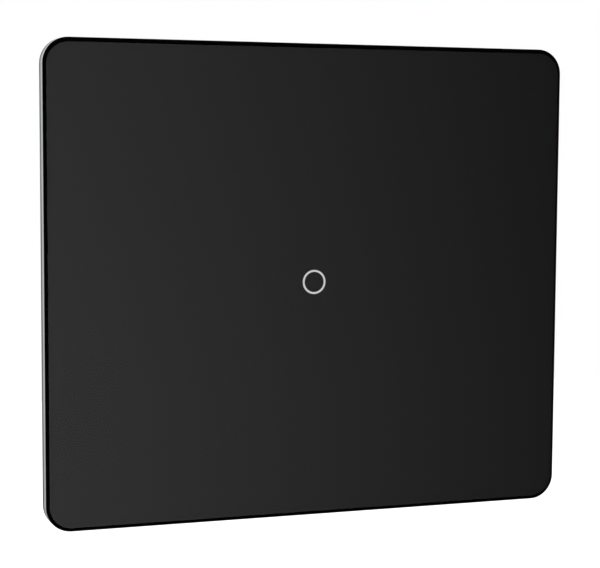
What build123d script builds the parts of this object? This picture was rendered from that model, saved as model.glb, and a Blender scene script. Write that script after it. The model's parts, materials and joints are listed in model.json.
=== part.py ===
from build123d import *
import os
from math import cos, radians, sin, sqrt

# Touch light switch with a glass front that pulls off its wall plate. Heights are measured
# from the wall towards the room, so what sits inside the wall box has a negative height.
# X runs to the right, Z up, and the room is on the -Y side. Sizes are in millimetres.

# Clearances
snug = 0.1                      # fixed pieces that slip into one another
running = 0.05                  # radial gap of pins, shafts and threads
free = 0.3                      # pieces that move past one another

# Cross recesses of the screws
recess_size = 2.0
recess_width = 0.5
recess_depth = 0.6
low_recess_depth = 0.45         # in the low heads of the touch board's screws

# Glass front
panel_width = 98.0
panel_height = 85.0
panel_corner_radius = 4.5
front_depth = 8.5               # wall to the front of the glass
glass_thickness = 1.6
glass_bevel_width = 0.6
glass_bevel_depth = 0.2
print_thickness = 0.1
ring_diameter = 4.0             # to the middle of the ring's line
ring_line = 0.34
ring_depth = 0.15               # engraving in the front of the glass
window_margin = 0.15            # print left open on each side of the ring's line
adhesive_thickness = 0.2

# Aluminium frame behind the glass
bezel_thickness = 1.25
bezel_width = 11.0              # width of the frame's flat band
bezel_opening_radius = 3.0
bezel_lip = 1.0                 # rim outside the adhesive
bezel_edge_break = 0.15
bezel_boss_radius = 2.75
bezel_boss_inset = 4.4          # boss centre from the inside of the skirt
bezel_screw_radius = 1.25
bezel_screw_head_radius = 2.3
bezel_screw_grip = 2.2          # thread inside the boss

# Plastic tray that carries the front's parts
carrier_inset = 2.0             # shadow gap: skirt behind the edge of the glass
carrier_wall = 1.6
carrier_corner_radius = 3.5
carrier_floor = 1.6
skirt_gap = 0.3                 # skirt above the wall
pry_notch_width = 9.0
pry_notch_height = 1.6
guide_pin_radius = 1.5
guide_pin_length = 1.3
guide_pin_x = 30.0
guide_pin_edge = 2.5            # pin centre from the plate's upper or lower edge
magnet_radius = 4.0
magnet_thickness = 1.5
magnet_web = 0.3                # plastic left behind each magnet
magnet_edge = 5.5               # magnet centre from the plate's side
magnet_z = 18.0

# Touch board and what stands on it
touch_board_width = 49.0
touch_board_height = 66.0
touch_board_thickness = 1.0
touch_board_corner_radius = 2.0
touch_screw_radius = 1.0
touch_screw_grip = 1.4
touch_screw_head_radius = 1.9
touch_screw_head_height = 0.8
touch_screw_edge = 2.0          # screw centre from the board's short edge
touch_screw_x = 20.0
spring_wire = 0.5
spring_radius = 4.6
spring_turns = 3
spring_end_gap = 0.02           # wire to board and print
light_guide_radius = 2.7
light_guide_bore = 1.45
led_length = 1.6
led_width = 0.8
led_height = 0.6
led_lens_radius = 0.28
led_lens_height = 0.15
touch_chip_length = 4.9
touch_chip_width = 3.9
touch_chip_height = 1.5
touch_chip_place = (0.0, 13.0)

# Plug and socket between the two boards
pin_count = 5
pin_pitch = 2.54
pin_side = 0.64
pin_solder = 0.5                # pin standing out of the touch board
pin_reach = 4.6                 # pin inside the socket
plug_width = 2.5
plug_x = 18.6
plug_z = 2.0
plug_gap = 0.4                  # strip to socket
contact_side = 1.5
contact_wall = 0.2
contact_tail = 0.9              # contact standing out behind the power board

# Steel plate on the wall
plate_gap = 3.4                 # plate edge to the inside of the skirt
plate_thickness = 1.2
plate_corner_radius = 3.0
box_screw_spacing = 60.3
box_slot_width = 4.2
box_slot_length = 8.0
box_screw_room_width = 74.0     # room in the tray for both screw heads
box_screw_room_height = 11.0

# Module in the wall box
module_width = 46.0
module_height = 46.0
module_corner_cut = 7.0
module_wall = 1.5
module_floor = 1.5
module_edge = 1.0               # break along the edges of its back
label_width = 30.0              # bare recess on its back
label_height = 16.0
label_z = 7.0
label_depth = 0.3
flange_thickness = 1.2
flange_overhang = 2.0
ear_radius = 3.0
ear_x = 10.0
ear_rise = 0.8                  # ear centre beyond the flange
module_screw_radius = 1.25
module_screw_head_radius = 2.3
cover_leg = 2.0
cover_leg_x = 16.0
cover_leg_z = 13.0
socket_recess = 1.6             # socket below the front of the cover
socket_height = 5.0
board_thickness = 1.6
board_gap = 0.25
board_screw_radius = 1.0
board_screw_head_radius = 1.9
board_screw_head_height = 1.2
board_screw_grip = 4.0
board_post_radius = 2.4
board_post_inset = 2.1          # post centre from the housing's inner wall
side_post_z = -7.0
top_post_x = 8.0
lead_radius = 0.35
lead_stub = 1.0                 # lead standing out of the board's front

# Terminal block
terminal_count = 4
terminal_pitch = 7.5
terminal_block_depth = 10.3
terminal_wall = 0.8
terminal_ledge = 1.0            # plastic over the screw heads
terminal_back_wall = 0.7
wire_guide = 2.2
wire_hole_radius = 1.3
wire_funnel = 0.5
wire_gap = 2.6                  # open clamp
bar_thickness = 0.8
bar_width = 3.4
cage_wall = 0.8
cage_top = 1.8
cage_width = 5.6
cage_length = 6.0
thread_pitch = 0.5
clamp_turns = 5
terminal_screw_radius = 1.5
terminal_head_radius = 2.4
terminal_head_height = 1.8
terminal_slot_width = 0.6
terminal_slot_depth = 0.9
driver_hole_radius = 2.1

# Relay
relay_length = 19.0
relay_width = 15.5
relay_height = 15.4
relay_room = 0.4                # relay to the housing's floor
relay_x = -8.8
relay_z = 10.25
relay_wall = 0.8
relay_floor = 1.2
coil_room = 2.75                # relay's side to its yoke and bobbin
yoke_thickness = 1.2
yoke_foot = 11.0
yoke_leg_height = 8.7           # leg above the foot
core_radius = 2.0
pole_radius = 3.0
pole_thickness = 0.8
bobbin_wall = 0.8
winding_inset = 0.2             # winding inside the bobbin's flanges
armature_thickness = 1.0
armature_length = 10.4
armature_angle = 4.0            # swing between open and pulled in
armature_gap = 0.1              # hinge edge above the leg
blade_thickness = 0.3
blade_width = 4.0
blade_start = 2.5
blade_end = 15.6
contact_radius = 1.3
contact_thickness = 0.5
contact_setback = 1.6           # contact centre from the blade's end
contact_closed_gap = 0.1
fixed_blade_thickness = 0.6
fixed_shelf = 3.2
coil_lead_spacing = 7.0
coil_lead_gap = 0.4             # lead to the bobbin's flanges

# Power supply parts on the power board
transformer_x = 8.8
transformer_z = 10.0
transformer_width = 12.6
transformer_height = 13.0
transformer_stack = 5.0
transformer_yoke = 2.0
transformer_leg = 3.0
transformer_bobbin_wall = 0.6
transformer_flange = 0.8
transformer_winding = 1.5
transformer_corner = 0.9
transformer_lead_spacing = 5.0
transformer_lead_rise = 4.0
film_capacitor_size = (13.0, 11.0, 5.0)
film_capacitor_place = (-8.5, -7.0)
film_lead_spacing = 10.0
film_corner = 0.5
film_top_edge = 0.4
large_capacitor_radius = 4.0
large_capacitor_height = 11.5
large_capacitor_place = (4.0, -6.4)
large_lead_spacing = 3.6
small_capacitor_radius = 3.0
small_capacitor_height = 11.0
small_capacitor_place = (12.0, -6.6)
small_lead_spacing = 2.4
can_edge = 0.5
crimp_rise = 1.6                # groove near the board end of a can
crimp_height = 0.8
crimp_depth = 0.35
fuse_size = (8.4, 8.0, 4.2)
fuse_place = (6.2, 0.3)
fuse_lead_spacing = 5.0
fuse_corner = 0.6
varistor_radius = 3.5
varistor_thickness = 3.4
varistor_place = (-10.5, -1.6)
varistor_lead_spacing = 5.0
varistor_edge = 0.8
rectifier_size = (4.6, 2.4, 3.6)
rectifier_place = (15.0, 0.2)

# Levels, from the front to the back
glass_back = front_depth - glass_thickness
print_back = glass_back - print_thickness
bezel_back = print_back - bezel_thickness
carrier_floor_back = plate_thickness + free
carrier_floor_front = carrier_floor_back + carrier_floor
touch_board_front = carrier_floor_front + touch_board_thickness
flange_front = plate_thickness + flange_thickness
socket_front = flange_front - socket_recess
strip_back = socket_front + plug_gap
board_front = socket_front - socket_height
board_back = board_front - board_thickness
housing_floor = board_back - relay_height - relay_room
module_back = housing_floor - module_floor

# Outlines that several pieces share
bezel_opening_width = panel_width - 2 * bezel_width
bezel_opening_height = panel_height - 2 * bezel_width
adhesive_width = panel_width - 2 * bezel_lip
adhesive_height = panel_height - 2 * bezel_lip
adhesive_corner_radius = panel_corner_radius - bezel_lip
carrier_width = panel_width - 2 * carrier_inset
carrier_height = panel_height - 2 * carrier_inset
carrier_inner_width = carrier_width - 2 * carrier_wall
carrier_inner_height = carrier_height - 2 * carrier_wall
plate_width = carrier_inner_width - 2 * plate_gap
plate_height = carrier_inner_height - 2 * plate_gap
flange_width = module_width + 2 * flange_overhang
flange_height = module_height + 2 * flange_overhang
ear_z = flange_height / 2 + ear_rise
carrier_opening_width = flange_width + 2 * (snug + free)
carrier_opening_height = 2 * (ear_z + ear_radius + free)
plug_length = pin_count * pin_pitch
ring_outer_radius = (ring_diameter + ring_line) / 2
ring_inner_radius = (ring_diameter - ring_line) / 2
window_outer_radius = ring_outer_radius + window_margin
window_inner_radius = ring_inner_radius - window_margin


def level(height):
    """Plane parallel to the wall at a height in front of it, facing the room."""
    return Plane.XZ.offset(height)


def corner_places(x, z):
    """The four corners of a centred rectangle, from one of them."""
    return [(side * x, rise * z) for side in (-1, 1) for rise in (-1, 1)]


def module_outline(inset):
    """Points of the module's cut-corner outline, moved inwards by an inset."""
    x = module_width / 2 - inset
    z = module_height / 2 - inset
    cut = module_corner_cut - inset * (2 - sqrt(2))
    right = [(x, z - cut), (x, cut - z), (x - cut, -z)]
    left = [(cut - x, -z), (-x, cut - z), (-x, z - cut)]
    return [(x - cut, z)] + right + left + [(cut - x, z)]


def cross_recess():
    """Cross for a screwdriver, drawn into the sketch that is open."""
    Rectangle(recess_size, recess_width)
    Rectangle(recess_width, recess_size)


def lead_pair(place, spacing):
    """Two leads side by side, centred on a place."""
    return [(place[0] - spacing / 2, place[1]), (place[0] + spacing / 2, place[1])]


# Places that pieces share
bezel_boss_places = corner_places(
    carrier_inner_width / 2 - bezel_boss_inset,
    carrier_inner_height / 2 - bezel_boss_inset,
)
guide_pin_places = corner_places(guide_pin_x, plate_height / 2 - guide_pin_edge)
magnet_places = corner_places(plate_width / 2 - magnet_edge, magnet_z)
touch_screw_places = corner_places(touch_screw_x, touch_board_height / 2 - touch_screw_edge)
module_screw_places = corner_places(ear_x, ear_z)
box_screw_places = [(-box_screw_spacing / 2, 0), (box_screw_spacing / 2, 0)]
pin_places = [(plug_x, plug_z + (n - (pin_count - 1) / 2) * pin_pitch) for n in range(pin_count)]
post_x = module_width / 2 - module_wall - board_post_inset
post_z = module_height / 2 - module_wall - board_post_inset
board_screw_places = [(-post_x, side_post_z), (post_x, side_post_z), (top_post_x, post_z)]

os.makedirs("parts", exist_ok=True)

# Glass panel with a wide, shallow bevel round its front and a groove for the ring
with BuildPart() as glass_panel:
    with BuildSketch(level(glass_back)):
        RectangleRounded(panel_width, panel_height, panel_corner_radius)
    extrude(amount=glass_thickness)
    glass_front = glass_panel.faces().sort_by(Axis.Y)[0]
    chamfer(
        glass_front.edges(),
        length=glass_bevel_width,
        length2=glass_bevel_depth,
        reference=glass_front,
    )
    with BuildSketch(level(front_depth - ring_depth)):
        Circle(ring_outer_radius)
        Circle(ring_inner_radius, mode=Mode.SUBTRACT)
    extrude(amount=ring_depth, mode=Mode.SUBTRACT)

glass_panel.part.label = "glass_panel"
export_step(glass_panel.part, "parts/glass_panel.step")

# Pale enamel that fills the ring engraved in the front of the glass
with BuildPart() as ring_mark:
    with BuildSketch(level(front_depth - ring_depth)):
        Circle(ring_outer_radius)
        Circle(ring_inner_radius, mode=Mode.SUBTRACT)
    extrude(amount=ring_depth)

ring_mark.part.label = "ring_mark"
export_step(ring_mark.part, "parts/ring_mark.step")

# Black enamel on the back of the glass, left open in a ring behind the mark
with BuildPart() as back_print:
    with BuildSketch(level(print_back)):
        RectangleRounded(panel_width, panel_height, panel_corner_radius)
        Circle(window_outer_radius, mode=Mode.SUBTRACT)
        Circle(window_inner_radius)
    extrude(amount=print_thickness)

back_print.part.label = "back_print"
export_step(back_print.part, "parts/back_print.step")

# Smoked ink in that opening, which the lamp shines through
with BuildPart() as ring_window:
    with BuildSketch(level(print_back)):
        Circle(window_outer_radius)
        Circle(window_inner_radius, mode=Mode.SUBTRACT)
    extrude(amount=print_thickness)

ring_window.part.label = "ring_window"
export_step(ring_window.part, "parts/ring_window.step")

# Frame of bonding film between the glass and the aluminium
with BuildPart() as glass_adhesive:
    with BuildSketch(level(print_back - adhesive_thickness)):
        RectangleRounded(adhesive_width, adhesive_height, adhesive_corner_radius)
        RectangleRounded(
            bezel_opening_width, bezel_opening_height, bezel_opening_radius, mode=Mode.SUBTRACT
        )
    extrude(amount=adhesive_thickness)

glass_adhesive.part.label = "glass_adhesive"
export_step(glass_adhesive.part, "parts/glass_adhesive.step")

# Aluminium frame with a shallow bed for the film and four screw bosses
with BuildPart() as bezel_frame:
    with BuildSketch(level(bezel_back)):
        RectangleRounded(panel_width, panel_height, panel_corner_radius)
        RectangleRounded(
            bezel_opening_width, bezel_opening_height, bezel_opening_radius, mode=Mode.SUBTRACT
        )
    extrude(amount=bezel_thickness)
    back_rim = bezel_frame.faces().sort_by(Axis.Y)[-1].outer_wire().edges()
    chamfer(back_rim, length=bezel_edge_break)
    with BuildSketch(level(print_back)):
        RectangleRounded(adhesive_width, adhesive_height, adhesive_corner_radius)
    extrude(amount=-adhesive_thickness, mode=Mode.SUBTRACT)
    with BuildSketch(level(carrier_floor_front)):
        with Locations(*bezel_boss_places):
            Circle(bezel_boss_radius)
    extrude(amount=bezel_back - carrier_floor_front)
    with BuildSketch(level(carrier_floor_front)):
        with Locations(*bezel_boss_places):
            Circle(bezel_screw_radius + running)
    extrude(amount=bezel_screw_grip + free, mode=Mode.SUBTRACT)

bezel_frame.part.label = "bezel_frame"
export_step(bezel_frame.part, "parts/bezel_frame.step")

# Plastic tray: skirt, floor with its openings, magnet beds, guide pins and pry notch
with BuildPart() as front_carrier:
    with BuildSketch(level(skirt_gap)):
        RectangleRounded(carrier_width, carrier_height, carrier_corner_radius)
        RectangleRounded(
            carrier_inner_width,
            carrier_inner_height,
            carrier_corner_radius - carrier_wall,
            mode=Mode.SUBTRACT,
        )
    extrude(amount=bezel_back - skirt_gap)
    with BuildSketch(level(carrier_floor_back)):
        RectangleRounded(carrier_width, carrier_height, carrier_corner_radius)
        Rectangle(carrier_opening_width, carrier_opening_height, mode=Mode.SUBTRACT)
        Rectangle(box_screw_room_width, box_screw_room_height, mode=Mode.SUBTRACT)
    extrude(amount=carrier_floor)
    with BuildSketch(level(carrier_floor_front)):
        with Locations(*magnet_places):
            Circle(magnet_radius + snug)
    extrude(amount=magnet_web - carrier_floor, mode=Mode.SUBTRACT)
    with BuildSketch(level(carrier_floor_front)):
        with Locations(*touch_screw_places):
            Circle(touch_screw_radius + running)
    extrude(amount=-touch_screw_grip, mode=Mode.SUBTRACT)
    with BuildSketch(level(carrier_floor_back)):
        with Locations(*bezel_boss_places):
            Circle(bezel_screw_radius + running)
    extrude(amount=carrier_floor, mode=Mode.SUBTRACT)
    with BuildSketch(level(carrier_floor_back)):
        with Locations(*bezel_boss_places):
            Circle(bezel_screw_head_radius + running)
    extrude(
        amount=bezel_screw_head_radius - bezel_screw_radius, taper=45, mode=Mode.SUBTRACT
    )
    with BuildSketch(level(carrier_floor_back)):
        with Locations(*guide_pin_places):
            Circle(guide_pin_radius)
    extrude(amount=-guide_pin_length)
    with BuildSketch(level(skirt_gap)):
        with Locations((0, -carrier_height / 2)):
            Rectangle(pry_notch_width, 3 * carrier_wall)
    extrude(amount=pry_notch_height, mode=Mode.SUBTRACT)

front_carrier.part.label = "front_carrier"
export_step(front_carrier.part, "parts/front_carrier.step")

# Countersunk screws from the back of the tray into the frame's bosses
with BuildPart() as bezel_screws:
    with BuildSketch(level(carrier_floor_back)):
        with Locations(*bezel_boss_places):
            Circle(bezel_screw_radius)
    extrude(amount=carrier_floor + bezel_screw_grip)
    with BuildSketch(level(carrier_floor_back)):
        with Locations(*bezel_boss_places):
            Circle(bezel_screw_head_radius)
    extrude(amount=bezel_screw_head_radius - bezel_screw_radius, taper=45)
    with BuildSketch(level(carrier_floor_back)):
        with Locations(*bezel_boss_places):
            cross_recess()
    extrude(amount=recess_depth, mode=Mode.SUBTRACT)

bezel_screws.part.label = "bezel_screws"
export_step(bezel_screws.part, "parts/bezel_screws.step")

# Disc magnets glued into the tray
with BuildPart() as magnets:
    with BuildSketch(level(carrier_floor_back + magnet_web)):
        with Locations(*magnet_places):
            Circle(magnet_radius)
    extrude(amount=magnet_thickness)

magnets.part.label = "magnets"
export_step(magnets.part, "parts/magnets.step")

# Touch board on the tray's floor
with BuildPart() as touch_board:
    with BuildSketch(level(carrier_floor_front)):
        RectangleRounded(touch_board_width, touch_board_height, touch_board_corner_radius)
        with Locations(*touch_screw_places):
            Circle(touch_screw_radius + snug, mode=Mode.SUBTRACT)
        with Locations(*pin_places):
            Rectangle(pin_side + snug, pin_side + snug, mode=Mode.SUBTRACT)
    extrude(amount=touch_board_thickness)

touch_board.part.label = "touch_board"
export_step(touch_board.part, "parts/touch_board.step")

# Pan head screws that hold the touch board
with BuildPart() as touch_board_screws:
    with BuildSketch(level(touch_board_front)):
        with Locations(*touch_screw_places):
            Circle(touch_screw_head_radius)
    extrude(amount=touch_screw_head_height)
    with BuildSketch(level(touch_board_front)):
        with Locations(*touch_screw_places):
            Circle(touch_screw_radius)
    extrude(amount=-touch_board_thickness - touch_screw_grip)
    with BuildSketch(level(touch_board_front + touch_screw_head_height)):
        with Locations(*touch_screw_places):
            cross_recess()
    extrude(amount=-low_recess_depth, mode=Mode.SUBTRACT)

touch_board_screws.part.label = "touch_board_screws"
export_step(touch_board_screws.part, "parts/touch_board_screws.step")

# Sensing coil pressed between the touch board and the back of the glass
spring_room = print_back - touch_board_front
spring_rise = spring_room - spring_wire - 2 * spring_end_gap
with BuildPart() as touch_spring:
    with BuildLine():
        coil = Helix(
            pitch=spring_rise / spring_turns,
            height=spring_rise,
            radius=spring_radius,
            center=(0, -touch_board_front - spring_wire / 2 - spring_end_gap, 0),
            direction=(0, -1, 0),
        )
    with BuildSketch(Plane(origin=coil @ 0, z_dir=coil % 0)):
        Circle(spring_wire / 2)
    sweep(path=coil, is_frenet=True)

touch_spring.part.label = "touch_spring"
export_step(touch_spring.part, "parts/touch_spring.step")

# Clear tube that carries the light to the ring
with BuildPart() as light_guide:
    with BuildSketch(level(touch_board_front)):
        Circle(light_guide_radius)
        Circle(light_guide_bore, mode=Mode.SUBTRACT)
    extrude(amount=print_back - touch_board_front)

light_guide.part.label = "light_guide"
export_step(light_guide.part, "parts/light_guide.step")

# Lamp inside the tube
with BuildPart() as status_led:
    with BuildSketch(level(touch_board_front)):
        Rectangle(led_length, led_width)
    extrude(amount=led_height)
    with BuildSketch(level(touch_board_front + led_height)):
        Circle(led_lens_radius)
    extrude(amount=led_lens_height)

status_led.part.label = "status_led"
export_step(status_led.part, "parts/status_led.step")

# Touch sensor chip
with BuildPart() as touch_chip:
    with BuildSketch(level(touch_board_front)):
        with Locations(touch_chip_place):
            Rectangle(touch_chip_length, touch_chip_width)
    extrude(amount=touch_chip_height)

touch_chip.part.label = "touch_chip"
export_step(touch_chip.part, "parts/touch_chip.step")

# Plastic strip of the plug
with BuildPart() as header_strip:
    with BuildSketch(level(carrier_floor_front)):
        with Locations((plug_x, plug_z)):
            Rectangle(plug_width, plug_length)
        with Locations(*pin_places):
            Rectangle(pin_side, pin_side, mode=Mode.SUBTRACT)
    extrude(amount=strip_back - carrier_floor_front)

header_strip.part.label = "header_strip"
export_step(header_strip.part, "parts/header_strip.step")

# Square pins of the plug
with BuildPart() as header_pins:
    with BuildSketch(level(touch_board_front + pin_solder)):
        with Locations(*pin_places):
            Rectangle(pin_side, pin_side)
    extrude(amount=socket_front - pin_reach - touch_board_front - pin_solder)

header_pins.part.label = "header_pins"
export_step(header_pins.part, "parts/header_pins.step")

# Steel plate on the wall
with BuildPart() as mounting_plate:
    with BuildSketch(level(0)):
        RectangleRounded(plate_width, plate_height, plate_corner_radius)
        Polygon(*module_outline(-snug), mode=Mode.SUBTRACT)
        with Locations(*box_screw_places):
            SlotOverall(box_slot_length, box_slot_width, mode=Mode.SUBTRACT)
        with Locations(*guide_pin_places):
            Circle(guide_pin_radius + running, mode=Mode.SUBTRACT)
        with Locations(*module_screw_places):
            Circle(module_screw_radius + running, mode=Mode.SUBTRACT)
    extrude(amount=plate_thickness)

mounting_plate.part.label = "mounting_plate"
export_step(mounting_plate.part, "parts/mounting_plate.step")

# Terminal block: one chamber for each clamp, wires from below, screws from behind
block_width = terminal_count * terminal_pitch
block_bottom = -module_height / 2
block_middle = block_bottom + terminal_block_depth / 2
chamber_start = block_bottom + wire_guide
chamber_end = block_bottom + terminal_block_depth - terminal_back_wall
chamber_middle = (chamber_start + chamber_end) / 2
chamber_width = cage_width + 2 * free
cage_start = chamber_start + free
screw_z = cage_start + cage_length / 2
clamp_travel = clamp_turns * thread_pitch
terminal_xs = [(n - (terminal_count - 1) / 2) * terminal_pitch for n in range(terminal_count)]
screw_places = [(x, screw_z) for x in terminal_xs]

# Rises behind the power board, for the clamp when it is open
cage_back = terminal_wall + free
wire_low = cage_back + cage_wall
bar_low = wire_low + wire_gap
bar_high = bar_low + bar_thickness
screw_tip = bar_high + running
cage_thread_low = bar_high + free
cage_high = cage_thread_low + cage_top
head_low = cage_high + clamp_travel + free
head_high = head_low + terminal_head_height
block_height = head_high + free + terminal_ledge

with BuildPart() as terminal_block:
    with BuildSketch(level(board_back)):
        with Locations((0, block_middle)):
            Rectangle(block_width, terminal_block_depth)
    extrude(amount=-block_height)
    with BuildSketch(level(board_back - terminal_wall)):
        with Locations(*[(x, chamber_middle) for x in terminal_xs]):
            Rectangle(chamber_width, chamber_end - chamber_start)
    extrude(amount=terminal_wall + terminal_ledge - block_height, mode=Mode.SUBTRACT)
    with BuildSketch(level(board_back - block_height)):
        with Locations(*screw_places):
            Circle(driver_hole_radius)
    extrude(amount=2 * terminal_ledge, mode=Mode.SUBTRACT)
    with BuildSketch(level(board_back)):
        with Locations(*[(x, chamber_end - bar_thickness / 2 - snug) for x in terminal_xs]):
            Rectangle(bar_width + 2 * snug, bar_thickness + 2 * snug)
    extrude(amount=-2 * terminal_wall, mode=Mode.SUBTRACT)
    with BuildSketch(Plane.XY.offset(block_bottom)):
        with Locations(*[(x, wire_low + wire_gap / 2 - board_back) for x in terminal_xs]):
            Circle(wire_hole_radius)
    extrude(amount=2 * wire_guide, mode=Mode.SUBTRACT)
    mouths = terminal_block.edges().filter_by(GeomType.CIRCLE).group_by(Axis.Z)[0]
    chamfer(mouths, length=wire_funnel)

terminal_block.part.label = "terminal_block"
export_step(terminal_block.part, "parts/terminal_block.step")

# Angle bars that the clamps press the wires against, soldered to the power board
with BuildPart() as terminal_bars:
    with BuildSketch(level(board_back - bar_low)):
        with Locations(*[(x, chamber_start + snug) for x in terminal_xs]):
            Rectangle(
                bar_width,
                chamber_end - chamber_start - 2 * snug,
                align=(Align.CENTER, Align.MIN),
            )
    extrude(amount=-bar_thickness)
    with BuildSketch(level(board_back - bar_low)):
        with Locations(*[(x, chamber_end - bar_thickness / 2 - snug) for x in terminal_xs]):
            Rectangle(bar_width, bar_thickness)
    extrude(amount=bar_low)
    with BuildSketch(level(board_back)):
        with Locations(*[(x, chamber_end - bar_thickness / 2 - snug) for x in terminal_xs]):
            Rectangle(2 * lead_radius, 2 * lead_radius)
    extrude(amount=board_thickness + lead_stub)

terminal_bars.part.label = "terminal_bars"
export_step(terminal_bars.part, "parts/terminal_bars.step")

# Screws that turn in place, and the cages that they lift
for number, terminal_x in enumerate(terminal_xs, start=1):
    with BuildPart() as terminal_screw:
        with BuildSketch(level(board_back - screw_tip)):
            with Locations((terminal_x, screw_z)):
                Circle(terminal_screw_radius)
        extrude(amount=screw_tip - head_low)
        with BuildSketch(level(board_back - head_low)):
            with Locations((terminal_x, screw_z)):
                Circle(terminal_head_radius)
        extrude(amount=-terminal_head_height)
        with BuildSketch(level(board_back - head_high)):
            with Locations((terminal_x, screw_z)):
                Rectangle(3 * terminal_head_radius, terminal_slot_width)
        extrude(amount=terminal_slot_depth, mode=Mode.SUBTRACT)

    terminal_screw.part.label = f"terminal_screw_{number}"
    export_step(terminal_screw.part, f"parts/terminal_screw_{number}.step")

    with BuildPart() as clamp_cage:
        with BuildSketch(Plane.XY.offset(cage_start)):
            with Locations((terminal_x, cage_back - board_back)):
                Rectangle(cage_width, cage_high - cage_back, align=(Align.CENTER, Align.MIN))
            with Locations((terminal_x, wire_low - board_back)):
                Rectangle(
                    cage_width - 2 * cage_wall,
                    cage_thread_low - wire_low,
                    align=(Align.CENTER, Align.MIN),
                    mode=Mode.SUBTRACT,
                )
        extrude(amount=cage_length)
        with BuildSketch(level(board_back - cage_high)):
            with Locations((terminal_x, screw_z)):
                Circle(terminal_screw_radius + running)
        extrude(amount=cage_top + free, mode=Mode.SUBTRACT)

    clamp_cage.part.label = f"clamp_cage_{number}"
    export_step(clamp_cage.part, f"parts/clamp_cage_{number}.step")

# Leads of the parts on the power board
film_leads = lead_pair(film_capacitor_place, film_lead_spacing)
large_leads = lead_pair(large_capacitor_place, large_lead_spacing)
small_leads = lead_pair(small_capacitor_place, small_lead_spacing)
fuse_leads = lead_pair(fuse_place, fuse_lead_spacing)
varistor_leads = lead_pair(varistor_place, varistor_lead_spacing)
transformer_low_leads = lead_pair(
    (transformer_x, transformer_z - transformer_lead_rise), transformer_lead_spacing
)
transformer_high_leads = lead_pair(
    (transformer_x, transformer_z + transformer_lead_rise), transformer_lead_spacing
)
transformer_leads = transformer_low_leads + transformer_high_leads

# Relay places, from its middle
relay_left = relay_x - relay_length / 2 + relay_wall
hinge_x = relay_left + snug + free
coil_side = relay_width - 2 * coil_room
coil_x = hinge_x + yoke_thickness + snug + coil_side / 2
foot_low = relay_floor
foot_high = foot_low + yoke_thickness
leg_high = foot_high + yoke_leg_height
hinge_rise = leg_high + armature_gap
pole_high = hinge_rise - free
bobbin_high = pole_high - pole_thickness
coil_leads = lead_pair(
    (coil_x, relay_z - coil_side / 2 - coil_lead_gap - lead_radius), coil_lead_spacing
)
contact_x = hinge_x + blade_end - contact_setback
contact_lead = (contact_x + contact_radius + snug, relay_z)

component_leads = (
    film_leads + large_leads + small_leads + fuse_leads + varistor_leads + transformer_leads
)
terminal_leads = [(x, chamber_end - bar_thickness / 2 - snug) for x in terminal_xs]
round_leads = component_leads + coil_leads + [contact_lead]

# Power board
with BuildPart() as power_board:
    with BuildSketch(level(board_back)):
        Polygon(*module_outline(module_wall + board_gap))
        with Locations(*board_screw_places):
            Circle(board_screw_radius + snug, mode=Mode.SUBTRACT)
        with Locations(*round_leads):
            Circle(lead_radius + snug, mode=Mode.SUBTRACT)
        with Locations(*terminal_leads):
            Rectangle(2 * (lead_radius + snug), 2 * (lead_radius + snug), mode=Mode.SUBTRACT)
        with Locations(*pin_places):
            Rectangle(pin_side + 2 * snug, pin_side + 2 * snug, mode=Mode.SUBTRACT)
    extrude(amount=board_thickness)

power_board.part.label = "power_board"
export_step(power_board.part, "parts/power_board.step")

# Screws that hold the power board on its posts
with BuildPart() as power_board_screws:
    with BuildSketch(level(board_front)):
        with Locations(*board_screw_places):
            Circle(board_screw_head_radius)
    extrude(amount=board_screw_head_height)
    with BuildSketch(level(board_front)):
        with Locations(*board_screw_places):
            Circle(board_screw_radius)
    extrude(amount=-board_thickness - board_screw_grip)
    with BuildSketch(level(board_front + board_screw_head_height)):
        with Locations(*board_screw_places):
            cross_recess()
    extrude(amount=-recess_depth, mode=Mode.SUBTRACT)

power_board_screws.part.label = "power_board_screws"
export_step(power_board_screws.part, "parts/power_board_screws.step")

# Socket for the plug, on the front of the power board
with BuildPart() as header_socket:
    with BuildSketch(level(board_front)):
        with Locations((plug_x, plug_z)):
            Rectangle(plug_width, plug_length)
        with Locations(*pin_places):
            Rectangle(contact_side, contact_side, mode=Mode.SUBTRACT)
    extrude(amount=socket_height)

header_socket.part.label = "header_socket"
export_step(header_socket.part, "parts/header_socket.step")

# Sprung contacts inside the socket, with their solder tails
with BuildPart() as socket_contacts:
    with BuildSketch(level(board_front)):
        with Locations(*pin_places):
            Rectangle(contact_side, contact_side)
            Rectangle(
                contact_side - 2 * contact_wall, contact_side - 2 * contact_wall, mode=Mode.SUBTRACT
            )
    extrude(amount=socket_height - free)
    with BuildSketch(level(board_front)):
        with Locations(*pin_places):
            Rectangle(contact_side, contact_side)
    extrude(amount=contact_wall)
    with BuildSketch(level(board_front)):
        with Locations(*pin_places):
            Rectangle(pin_side, pin_side)
    extrude(amount=-board_thickness - contact_tail)

socket_contacts.part.label = "socket_contacts"
export_step(socket_contacts.part, "parts/socket_contacts.step")

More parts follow.
